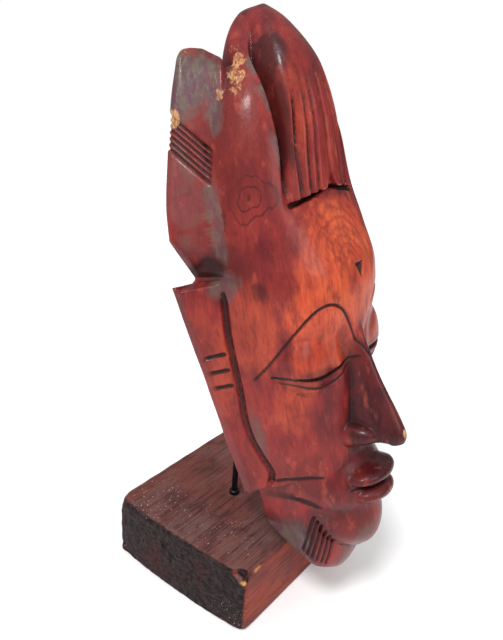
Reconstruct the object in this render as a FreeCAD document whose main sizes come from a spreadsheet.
import FreeCAD, Part
import Sketcher
import math
import os

from FreeCAD import Placement, Rotation, Vector

# Carved wooden mask on a rod stand, in millimetres.
#
# Origin: centre of the base block's underside. +Z is up and the mask faces -Y.
# The mask is modelled upright in a frame of its own: its flat back lies in the plane Y = 0, its
# face looks along -Y and its height runs along Z. It is a deep relief: an outline cut straight
# through the plank, and over it one carved surface that gives every point its depth in front of
# the back. Lines and marks are cut into that surface, the back is scooped out, and the last step
# leans the mask back over the rod.
# "Depth" is the distance in front of the back plane and "out" the distance from the middle.

doc = FreeCAD.newDocument("carved_mask")
sheet = doc.addObject("Spreadsheet::Sheet", "sizes")
sheet.Label = "sizes"

# ------------------------------------------------------------------ driving dimensions

SIZES = {
    # base block: a sawn offcut of timber
    "base_length": 93,
    "base_depth": 90.5,
    "base_height": 38,
    "base_edge_radius": 2.5,
    # steel rod and its foot collar
    "rod_diameter": 3.2,
    "rod_in_base": 25,
    "rod_in_mask": 36,
    "rod_tip_chamfer": 0.5,
    "fit_clearance": 0.05,
    "end_clearance": 0.1,
    "collar_diameter": 5.6,
    "collar_height": 2.6,
    "collar_chamfer": 0.6,
    # pose of the mask over the rod
    "lean_angle": 16,
    "back_forward": 48.5,
    "back_height": 26,
    # hollow scooped in the back, and the height over the table where the rod enters the wood
    "hollow_half_width": 30,
    "hollow_depth": 28,
    "hollow_half_height": 82,
    "hollow_centre_height": 125,
    "bore_mouth_height": 223,
    # sloping underside behind the neck band: its height at the back and its rise
    "underside_height": 33,
    "underside_angle": 49.2,
    # carved surface
    "grid_across": 2,
    "grid_along": 2.5,
    "cut_depth": 1.4,
    "steep_cut_depth": 4,
    # incised lines
    "upper_line_width": 0.6,
    "lower_line_width": 1.2,
    "neck_line_width": 0.9,
    "strand_line_width": 1.3,
    "slit_width": 1.8,
    "arch_width": 1.2,
    # forelocks' feet and the wedge between them
    "foot_height": 190.6,
    "foot_slope": 0.2,
    "parting_height": 197.5,
    "parting_spread": 0.55,
    # back of the crown, rounded to an ellipsoid
    "crown_half_width": 21.5,
    "crown_half_depth": 19.4,
    "crown_half_height": 44,
    "crown_forward": 20,
    "crown_centre_height": 225,
    "crown_from_height": 245,
    # eyes
    "eye_out": 19.5,
    "eye_height": 120,
    "lid_half_width": 16.5,
    "lid_half_height": 19,
    # nose, mouth and chin
    "wing_out": 8,
    "wing_radius": 6,
    "wing_height": 79,
    "mouth_height": 53,
    "lip_half_width": 15.5,
    "lip_half_height": 5,
    # marks cut on the skin
    "brow_mark_size": 8,
    "brow_mark_height": 154,
    "cheek_mark_length": 11,
    "cheek_mark_width": 2.4,
}

# Level sections of the head: height, half width, depth at the middle, squareness.
HEAD = [
    (10, 1, 28, 2.1), (14, 7, 37, 2.1), (20, 14.5, 43.5, 2.1), (28, 20.5, 46.5, 2.1),
    (38, 25.5, 47.5, 2.1), (50, 30, 47.5, 2.1), (66, 35, 47, 2.1), (88, 41, 47, 2.15),
    (110, 44, 48.5, 2.2), (133, 46, 53.5, 2.25), (155, 46.5, 56, 2.3), (172, 45.5, 51, 2.5),
    (190, 43, 45, 2.9), (213, 38.5, 42.6, 3.4), (229, 33.5, 39.5, 3.5), (240, 27.5, 36.5, 3.2),
    (251, 19, 33, 2.7), (261, 11.5, 28.5, 2.2), (268, 5, 23, 2),
]
# Level sections of the neck band under the jaw.
NECK = [
    (-1, 12, 26, 2.6), (8, 21, 31, 2.8), (20, 25.5, 33.5, 3), (38, 29.5, 33, 3), (62, 34.5, 31, 3),
]
# Channel between crest and hood: height, out, depth of its floor, half width, rise to its rims.
CHANNEL = [
    (185, 26, 42, 2.5, 1), (197, 22.2, 37, 3.6, 5), (212, 19.6, 32.5, 4, 9),
    (226, 18, 28.5, 4.2, 11), (240, 16.2, 25.5, 3.8, 10), (250, 13.4, 24.5, 3.2, 7),
    (260, 8.5, 23, 2, 3),
]
# Crest over both forelocks: height, half width, depth at its middle, height of its sides,
# squareness.
CREST = [
    (184.5, 25.8, 47.6, 14, 3.2), (204, 20.2, 47.8, 14, 3), (219, 18, 47.8, 12, 2.8),
    (231, 16.8, 46.6, 11, 2.6), (242, 15.2, 44.4, 11, 2.4), (250, 12.8, 41.2, 11, 2.2),
    (257, 10, 37, 10, 2.1), (263, 7, 32, 8, 2), (268.5, 3.5, 25, 5, 2),
]
# Nose: height, depth of its ridge, half width, height of its sides.
NOSE = [
    (73.5, 67.5, 8, 22), (77.5, 69, 8.8, 24), (86, 66.5, 7.5, 21), (104, 59.5, 5.5, 14),
    (122, 54, 4.5, 9), (136, 52, 4.5, 6),
]
# Side flanges: height, outer edge, thickness there, inner edge, depth there.
UPPER_FLANGE = [
    (156, 42, 2.2, 38, 14), (180, 55.3, 2.2, 45.5, 17), (194.5, 52.7, 2.2, 43.2, 17),
    (214, 46.5, 2.2, 37.5, 17.5), (233.5, 40, 2.2, 32, 17.5), (246, 34.5, 2.2, 27, 16),
    (255, 28, 2.2, 20, 12),
]
LOWER_FLANGE = [
    (53, 35.5, 4.5, 26, 17), (60, 39, 4.5, 30, 18), (110, 48.5, 5, 40, 17.5), (161, 59, 5, 44, 17),
]
# Runs of the outline, (out, height), from the tip of the neck band up to the apex. A run of two
# points is straight, a longer one is a smooth curve.
OUTLINE = [
    [(0, -1), (10, 0.6), (17.5, 7), (22, 17), (24.5, 28), (26, 42), (28, 59.5)],
    [(28, 59.5), (37, 54)],
    [(37, 54), (48.5, 110), (59, 161)],
    [(59, 161), (46.5, 159.6)],
    [(46.5, 159.6), (44, 161)],
    [(44, 161), (55.3, 179.5)],
    [(55.3, 179.5), (52.7, 194.5), (46.5, 214), (40, 233.5), (34, 247)],
    [(34, 247), (31, 252.5), (26.5, 255), (19, 251)],
    [(19, 251), (11, 261), (5, 266.5), (0, 268.5)],
]

TABLES = {
    "head": (HEAD, ("height", "half_width", "depth", "square")),
    "neck": (NECK, ("height", "half_width", "depth", "square")),
    "channel": (CHANNEL, ("height", "out", "floor", "half_width", "rise")),
    "crest": (CREST, ("height", "half_width", "depth", "side", "square")),
    "nose": (NOSE, ("height", "depth", "half_width", "side")),
    "upper_flange": (UPPER_FLANGE, ("height", "outer", "edge", "inner", "inner_depth")),
    "lower_flange": (LOWER_FLANGE, ("height", "outer", "edge", "inner", "inner_depth")),
}


def fill_sheet():
    """Writes every driving dimension to the sheet, one alias to a cell."""
    cells = dict(SIZES)
    for name, (rows, fields) in TABLES.items():
        for number, row in enumerate(rows, 1):
            for field, value in zip(fields, row):
                cells[f"{name}_{field}_{number:02d}x"] = value
    for row, (alias, value) in enumerate(cells.items(), 1):
        sheet.set(f"A{row}", alias)
        sheet.set(f"B{row}", str(value))
        sheet.setAlias(f"B{row}", alias)
    doc.recompute()


def size(alias):
    """The value of one cell of the sheet."""
    return float(getattr(sheet, alias))


def table(name):
    """The rows of one table, read back from the sheet."""
    rows, fields = TABLES[name]
    return [
        [size(f"{name}_{field}_{number:02d}x") for field in fields]
        for number in range(1, len(rows) + 1)
    ]


def bind(thing, **expressions):
    """Binds properties of an object to expressions; a double underscore stands for a dot."""
    for name, expression in expressions.items():
        thing.setExpression(name.replace("__", "."), expression)
    return thing


def boolean(kind, name, first, second):
    result = doc.addObject(f"Part::{kind}", name)
    result.Base, result.Tool = first, second
    return result


def feature(name, shape):
    """A free-form shape as an object of the document."""
    thing = doc.addObject("Part::Feature", name)
    thing.Shape = shape
    return thing


# ------------------------------------------------------------------ the carved surface

def along(rows, height):
    """The row of values at a height, on a smooth curve through a table's rows."""
    if height <= rows[0][0]:
        return rows[0][1:]
    if height >= rows[-1][0]:
        return rows[-1][1:]
    index = max(number for number, row in enumerate(rows) if row[0] <= height)
    low, high = rows[index], rows[index + 1]
    before, after = rows[max(index - 1, 0)], rows[min(index + 2, len(rows) - 1)]
    span = high[0] - low[0]
    t = (height - low[0]) / span
    values = []
    for column in range(1, len(low)):
        leave = (high[column] - before[column]) / (high[0] - before[0]) * span
        arrive = (after[column] - low[column]) / (after[0] - low[0]) * span
        values.append(
            (2 * t**3 - 3 * t**2 + 1) * low[column] + (t**3 - 2 * t**2 + t) * leave
            + (3 * t**2 - 2 * t**3) * high[column] + (t**3 - t**2) * arrive)
    return values


def dome(distance, half_width, square=2.0):
    """1 over the middle of a form, falling to 0 at its half width."""
    share = min(abs(distance) / half_width, 1)
    return (1 - share**square) ** (1 / square)


def bump(out, height, centre, half_sizes):
    """Height of an ellipsoid's front half over its middle plane, from 1 down to 0."""
    across, up = (out - centre[0]) / half_sizes[0], (height - centre[1]) / half_sizes[1]
    return math.sqrt(max(1 - across**2 - up**2, 0))


def head_depth(out, height):
    """Skull, hood and face without features, with the channels beside the crest."""
    half_width, middle, square = along(table_of["head"], height)
    depth = middle * dome(out, half_width, square)
    if CHANNEL[0][0] < height < CHANNEL[-1][0]:
        place, floor, half, rise = along(table_of["channel"], height)
        if abs(out - place) < half:
            depth = min(depth, floor + rise * (1 - dome(out - place, half)))
    return depth


def feature_depth(out, height):
    """Nose, lids, lips and chin; 0 where there is none of them."""
    lip_out, lip_up = size_of["lip_half_width"], size_of["lip_half_height"]
    mouth, wing = size_of["mouth_height"], size_of["wing_radius"]
    lid = (size_of["lid_half_width"], size_of["lid_half_height"])
    swells = [
        (38.5, 8, (size_of["eye_out"], size_of["eye_height"]), lid),
        (34, 17, (0, mouth), (22, 18)),
        (48, 11, (0, mouth + lip_up * 0.9), (lip_out, lip_up)),
        (48, 10, (0, mouth - lip_up * 0.9), (lip_out * 0.85, lip_up)),
        (36, 14.5, (0, 29), (14, 11.5)),
        (44, 14, (size_of["wing_out"], size_of["wing_height"]), (wing, wing)),
    ]
    depth = 0
    for base, rise, centre, half_sizes in swells:
        share = bump(out, height, centre, half_sizes)
        if share > 0:
            depth = max(depth, base + rise * share)
    if NOSE[0][0] <= height <= NOSE[-1][0]:
        ridge, half, side = along(table_of["nose"], height)
        if abs(out) < half:
            depth = max(depth, ridge - side * (1 - dome(out, half)))
    return depth


def crest_depth(out, height):
    """The crest, down to the forelocks' feet and parted between them; 0 outside it."""
    half, top, side, square = along(table_of["crest"], height)
    foot = size_of["foot_height"] - size_of["foot_slope"] * out
    parting = max(size_of["parting_height"] - height, 0) * size_of["parting_spread"]
    if height < foot or out >= half or out < parting:
        return 0
    return top - side * (1 - dome(out, half, square))


def relief_depth(across, height):
    """The carved surface's depth at a point of the front."""
    out = abs(across)
    depth = max(head_depth(out, height), feature_depth(out, height))
    if height < 62:
        half_width, middle, square = along(table_of["neck"], height)
        depth = max(depth, middle * dome(out, half_width, square))
    depth = max(depth, crest_depth(out, height))
    name = "lower_flange" if height < 159 else "upper_flange"
    outer, edge, inner, inner_depth = along(table_of[name], height)
    rise = min((outer - out) / (outer - inner), 1.2)
    return max(depth, edge + max(rise, 0) * (inner_depth - edge))


def clamped_knots(count, degree):
    """Knots and multiplicities of a clamped spline with that many poles."""
    inner = count - degree
    return list(range(inner + 1)), [degree + 1] + [1] * (inner - 1) + [degree + 1]


def relief(name, low, high, behind=0.0):
    """Everything behind the carved surface, between two (across, height) corners and optionally
    sunk behind it by some depth."""
    step_across, step_up = size("grid_across"), size("grid_along")
    columns = range(math.floor(low[0] / step_across) - 3, math.ceil(high[0] / step_across) + 4)
    rows = range(math.floor(low[1] / step_up) - 3, math.ceil(high[1] / step_up) + 4)
    poles = [
        [
            Vector(i * step_across, behind - relief_depth(i * step_across, k * step_up), k * step_up)
            for k in rows
        ]
        for i in columns
    ]
    across_knots, across_mults = clamped_knots(len(columns), 3)
    up_knots, up_mults = clamped_knots(len(rows), 3)
    surface = Part.BSplineSurface()
    surface.buildFromPolesMultsKnots(
        poles, across_mults, up_mults, across_knots, up_knots, False, False, 3, 3)
    return feature(name, surface.toShape().extrude(Vector(0, 100, 0)))


def plank():
    """The outline of the whole mask, cut straight through."""
    edges = []
    for run in OUTLINE:
        for side in (1, -1):
            points = [Vector(side * out, 0, height) for out, height in run]
            if len(points) == 2:
                edges.append(Part.LineSegment(*points).toShape())
            else:
                curve = Part.BSplineCurve()
                curve.interpolate(points)
                edges.append(curve.toShape())
    face = Part.Face(Part.Wire(Part.__sortEdges__(edges)))
    return feature("plank", face.extrude(Vector(0, -90, 0)))


# ------------------------------------------------------------------ lines and marks

def stroke(name, middle, width, square_ends=False):
    """A cutter right through, whose outline follows a middle line of (across, height) points and
    narrows to its ends, unless they are square."""
    count = len(middle) - 1
    edges, rails = [], []
    for side in (1, -1):
        points = []
        for step, (across, up) in enumerate(middle):
            before, after = middle[max(step - 1, 0)], middle[min(step + 1, count)]
            run = Vector(after[0] - before[0], 0, after[1] - before[1]).normalize()
            taper = 1 if square_ends else math.sqrt(math.sin(math.pi * step / count))
            points.append(Vector(across, 0, up) + Vector(-run.z, 0, run.x) * side * width / 2 * taper)
        rails.append(points)
        if len(points) == 2:
            edges.append(Part.LineSegment(*points).toShape())
        else:
            curve = Part.BSplineCurve()
            curve.interpolate(points)
            edges.append(curve.toShape())
    if square_ends:
        for end in (0, -1):
            edges.append(Part.LineSegment(rails[0][end], rails[1][end]).toShape())
    face = Part.Face(Part.Wire(Part.__sortEdges__(edges)))
    return feature(name, face.extrude(Vector(0, -90, 0)))


def arc(centre, half_span, rise, steps=8):
    """Points of a parabolic arc over a level span."""
    places = [half_span * (2 * step / steps - 1) for step in range(steps + 1)]
    return [(centre[0] + x, centre[1] + rise * (1 - (x / half_span) ** 2)) for x in places]


def flange_lines():
    """Six slanting lines on an upper flange and three nearly level ones on a lower flange."""
    upper = [
        stroke(f"upper_line_{number + 1}",
               [(43.2 + 0.88 * number, 233.4 - 2.3 * number), (37.5 + 0.7 * number, 208.7 - 3.1 * number)],
               size("upper_line_width"), square_ends=True)
        for number in range(6)
    ]
    lower = [
        stroke(f"lower_line_{number + 1}", [(64, 125 - 7.5 * number), (42 - number, 128.5 - 7.5 * number)],
               size("lower_line_width"), square_ends=True)
        for number in range(3)
    ]
    return upper + lower


def upright_lines():
    """Three strand lines on a forelock and six lines on one side of the neck band."""
    strands = [
        stroke(f"strand_line_{number}", [(low, 183), (high, 232)],
               size("strand_line_width"), square_ends=True)
        for number, (low, high) in enumerate(((9.6, 5.6), (14.4, 9.2), (18.9, 12.8)), 1)
    ]
    neck = [
        stroke(f"neck_line_{number + 1}",
               [(22.4 - 1.42 * number, 18.7 - 2 * number), (21.9 - 1.52 * number, 38.8 - 2.7 * number)],
               size("neck_line_width"), square_ends=True)
        for number in range(6)
    ]
    return strands + neck


def skin_marks():
    """Brow arch, lid slit and the two marks beside the mouth."""
    eye = (size("eye_out"), size("eye_height"))
    length, width = size("cheek_mark_length"), size("cheek_mark_width")
    slanted = [(25 + x * 0.7, 48 + x * 0.7) for x in (-length / 2, 0, length / 2)]
    return [
        stroke("brow_arch", arc((eye[0] + 1, eye[1] - 5), 20, 28, 14), size("arch_width")),
        stroke("lid_slit", arc((eye[0] + 1, eye[1] - 5), 15, -4.5), size("slit_width")),
        stroke("cheek_mark_1", arc((27, 61), length / 2, 0.8), width),
        stroke("cheek_mark_2", slanted, width),
    ]


def brow_mark():
    """The small triangle on the forehead."""
    half, height = size("brow_mark_size") / 2, size("brow_mark_height")
    points = [Vector(x, 0, height + z) for x, z in ((-half, half), (half, half), (0, -half))]
    outline = Part.Face(Part.makePolygon(points + points[:1]))
    return feature("brow_mark", outline.extrude(Vector(0, -90, 0)))


def mirrored(source):
    """The same solid on the mask's other side."""
    twin = doc.addObject("Part::Mirroring", f"{source.Name}_mirrored")
    twin.Source = source
    twin.Normal = Vector(1, 0, 0)
    twin.Base = Vector()
    return twin


def parting_line():
    """The upright line between the forelocks."""
    return stroke("parting_line", [(0, 190), (0, 236)], size("strand_line_width"), square_ends=True)


def shallow(pattern):
    """A cutter that stops a little under the carved surface, deeper where that is steep."""
    box = pattern.Shape.BoundBox
    depth = size("steep_cut_depth" if pattern.Name.startswith("upper_line") else "cut_depth")
    floor = relief(f"{pattern.Name}_floor", (box.XMin, box.ZMin), (box.XMax, box.ZMax), depth)
    return boolean("Cut", f"{pattern.Name}_cutter", pattern, floor)


def incised():
    """All lines and marks, on both sides."""
    cutters = [shallow(pattern) for pattern in flange_lines() + upright_lines() + skin_marks()]
    everything = doc.addObject("Part::Compound", "incised")
    middle = [shallow(brow_mark()), shallow(parting_line())]
    everything.Links = cutters + [mirrored(one) for one in cutters] + middle
    return everything


# ------------------------------------------------------------------ the mask

def hollow():
    """The scoop in the back."""
    scoop = doc.addObject("Part::Ellipsoid", "hollow")
    scoop.Angle1, scoop.Angle2, scoop.Angle3 = -90, 90, 360
    return bind(
        scoop, Radius1="sizes.hollow_half_height", Radius2="sizes.hollow_half_width",
        Radius3="sizes.hollow_depth", Placement__Base__z="sizes.hollow_centre_height")


def rod_bore():
    """The blind bore that the rod's upper end stands in, upright once the mask leans back."""
    lean = math.radians(size("lean_angle"))
    upright = Vector(0, -math.sin(lean), math.cos(lean))
    crossing = Vector(0, 0, size("back_forward") / math.sin(lean))
    crossing_height = size("back_height") + crossing.z * math.cos(lean)
    start = crossing + upright * (size("bore_mouth_height") - 12 - crossing_height)
    bore = doc.addObject("Part::Cylinder", "rod_bore")
    bind(bore, Radius="sizes.rod_diameter / 2 + sizes.fit_clearance",
         Height="12 + sizes.rod_in_mask + sizes.end_clearance")
    bore.Placement = Placement(start, Rotation(Vector(0, 0, 1), upright))
    return bore


def crown_back():
    """What is cut away round the back of the crown, outside an ellipsoid."""
    block = doc.addObject("Part::Box", "crown_block")
    block.Length, block.Width, block.Height = 46, 22, 30
    bind(block, Placement__Base__x="-23", Placement__Base__y="-sizes.crown_forward",
         Placement__Base__z="sizes.crown_from_height")
    crown = doc.addObject("Part::Ellipsoid", "crown")
    crown.Angle1, crown.Angle2, crown.Angle3 = -90, 90, 360
    bind(crown, Radius1="sizes.crown_half_height", Radius2="sizes.crown_half_width",
         Radius3="sizes.crown_half_depth", Placement__Base__y="-sizes.crown_forward",
         Placement__Base__z="sizes.crown_centre_height")
    return boolean("Cut", "crown_back", block, crown)


def underside():
    """What is cut away behind and under the neck band."""
    block = doc.addObject("Part::Box", "underside")
    block.Length, block.Width, block.Height = 140, 60, 40
    slope = Rotation(Vector(1, 0, 0), size("underside_angle"))
    block.Placement = Placement(Vector(0, 0, size("underside_height")), slope) * Placement(
        Vector(-70, -36, -40), Rotation())
    return block


def mask():
    """The whole carving, leaned back over the rod."""
    form = boolean("Common", "carved_form", plank(), relief("relief", (-58, -2), (58, 270)))
    cutters = [crown_back(), incised(), hollow(), rod_bore(), underside()]
    for number, cutter in enumerate(cutters, 1):
        form = boolean("Cut", f"carved_{number}", form, cutter)
    form.Label = "mask_carving"
    form.Placement = Placement(
        Vector(0, -size("back_forward"), size("back_height")),
        Rotation(Vector(1, 0, 0), -size("lean_angle")))
    return form


# ------------------------------------------------------------------ the stand

def new_body(label):
    body = doc.addObject("PartDesign::Body", f"{label}_body")
    body.Label = label
    return body


def sketch_on(body, name, role):
    """An empty sketch on one of the body's origin planes."""
    sketch = body.newObject("Sketcher::SketchObject", name)
    plane = [item for item in body.Origin.OriginFeatures if item.Role == role][0]
    sketch.AttachmentSupport = [(plane, "")]
    sketch.MapMode = "FlatFace"
    return sketch


def add_circle(sketch, diameter):
    """A circle about the sketch's origin; diameter is an expression."""
    edge = sketch.addGeometry(Part.Circle(Vector(), Vector(0, 0, 1), 2 + sketch.GeometryCount))
    sketch.addConstraint(Sketcher.Constraint("Coincident", edge, 3, -1, 1))
    number = sketch.addConstraint(Sketcher.Constraint("Diameter", edge, 4 + 2 * edge))
    sketch.renameConstraint(number, f"across{edge}")
    sketch.setExpression(f"Constraints.across{edge}", diameter)


def add_rectangle(sketch, length, width):
    """A rectangle centred on the sketch's origin; length and width are expressions."""
    corners = [Vector(-9, -9), Vector(9, -9), Vector(9, 9), Vector(-9, 9)]
    for start, end in zip(corners, corners[1:] + corners[:1]):
        sketch.addGeometry(Part.LineSegment(start, end))
    for edge in range(4):
        sketch.addConstraint(Sketcher.Constraint("Coincident", edge, 2, (edge + 1) % 4, 1))
    for edge, kind in enumerate(("Horizontal", "Vertical", "Horizontal", "Vertical")):
        sketch.addConstraint(Sketcher.Constraint(kind, edge))
    sketch.addConstraint(Sketcher.Constraint("Symmetric", 0, 1, 1, 2, -1, 1))
    for name, kind, edge, expression in (
            ("length", "DistanceX", 0, length), ("width", "DistanceY", 1, width)):
        number = sketch.addConstraint(Sketcher.Constraint(kind, edge, 1, edge, 2, 18))
        sketch.renameConstraint(number, name)
        sketch.setExpression(f"Constraints.{name}", expression)


def stand_base():
    """The timber block, with eased edges and a blind bore for the rod."""
    body = new_body("stand_base")
    outline = sketch_on(body, "base_outline", "XY_Plane")
    add_rectangle(outline, "sizes.base_length", "sizes.base_depth")
    block = body.newObject("PartDesign::Pad", "base_block")
    block.Profile = outline
    bind(block, Length="sizes.base_height")
    doc.recompute()
    eased = body.newObject("PartDesign::Fillet", "base_edges")
    eased.Base = (block, [f"Edge{number}" for number in range(1, 13)])
    bind(eased, Radius="sizes.base_edge_radius")
    doc.recompute()
    mouth = sketch_on(body, "base_bore_outline", "XY_Plane")
    bind(mouth, AttachmentOffset__Base__z="sizes.base_height")
    add_circle(mouth, "sizes.rod_diameter + 2 * sizes.fit_clearance")
    bore = body.newObject("PartDesign::Pocket", "base_bore")
    bore.Profile = mouth
    bind(bore, Length="sizes.rod_in_base + sizes.end_clearance")
    return body


def stand_rod():
    """The steel rod, from the bottom of its bore in the base to the end of its bore in the mask."""
    body = new_body("stand_rod")
    foot = sketch_on(body, "rod_section", "XY_Plane")
    bind(foot, AttachmentOffset__Base__z="sizes.base_height - sizes.rod_in_base")
    add_circle(foot, "sizes.rod_diameter")
    rod = body.newObject("PartDesign::Pad", "rod_length")
    rod.Profile = foot
    bind(rod, Length="sizes.bore_mouth_height + sizes.rod_in_mask"
                     " - sizes.base_height + sizes.rod_in_base")
    doc.recompute()
    ends = [
        f"Edge{number}" for number, edge in enumerate(rod.Shape.Edges, 1)
        if isinstance(edge.Curve, Part.Circle)
    ]
    eased = body.newObject("PartDesign::Chamfer", "rod_ends")
    eased.Base = (rod, ends)
    bind(eased, Size="sizes.rod_tip_chamfer")
    return body


def rod_collar():
    """The little collar that is pushed onto the rod and stands on the base."""
    body = new_body("rod_collar")
    section = sketch_on(body, "collar_section", "XY_Plane")
    bind(section, AttachmentOffset__Base__z="sizes.base_height + sizes.end_clearance")
    add_circle(section, "sizes.collar_diameter")
    add_circle(section, "sizes.rod_diameter")
    sleeve = body.newObject("PartDesign::Pad", "collar_sleeve")
    sleeve.Profile = section
    bind(sleeve, Length="sizes.collar_height")
    doc.recompute()
    circles = [
        (round(edge.BoundBox.ZMax, 3), edge.Curve.Radius, f"Edge{number}")
        for number, edge in enumerate(sleeve.Shape.Edges, 1) if isinstance(edge.Curve, Part.Circle)
    ]
    eased = body.newObject("PartDesign::Chamfer", "collar_edge")
    eased.Base = (sleeve, [max(circles)[2]])
    bind(eased, Size="sizes.collar_chamfer")
    return body


# ------------------------------------------------------------------ build and export

fill_sheet()
size_of = {alias: size(alias) for alias in SIZES}
table_of = {name: table(name) for name in TABLES}
pieces = [stand_base(), stand_rod(), rod_collar(), mask()]
doc.recompute()
for thing in doc.Objects:
    if {"Invalid", "Error"} & set(thing.State):
        raise RuntimeError(f"{thing.Name} failed: {thing.State}")
for piece in pieces:
    if piece.Shape.isNull() or not piece.Shape.isValid():
        raise RuntimeError(f"{piece.Label} has no valid shape")
    if len(piece.Shape.Solids) != 1:
        raise RuntimeError(f"{piece.Label} has {len(piece.Shape.Solids)} solids")

os.makedirs("parts", exist_ok=True)
for piece in pieces:
    piece.Shape.exportStep(f"parts/{piece.Label}.step")
    print(piece.Label, piece.Shape.BoundBox, round(piece.Shape.Volume))
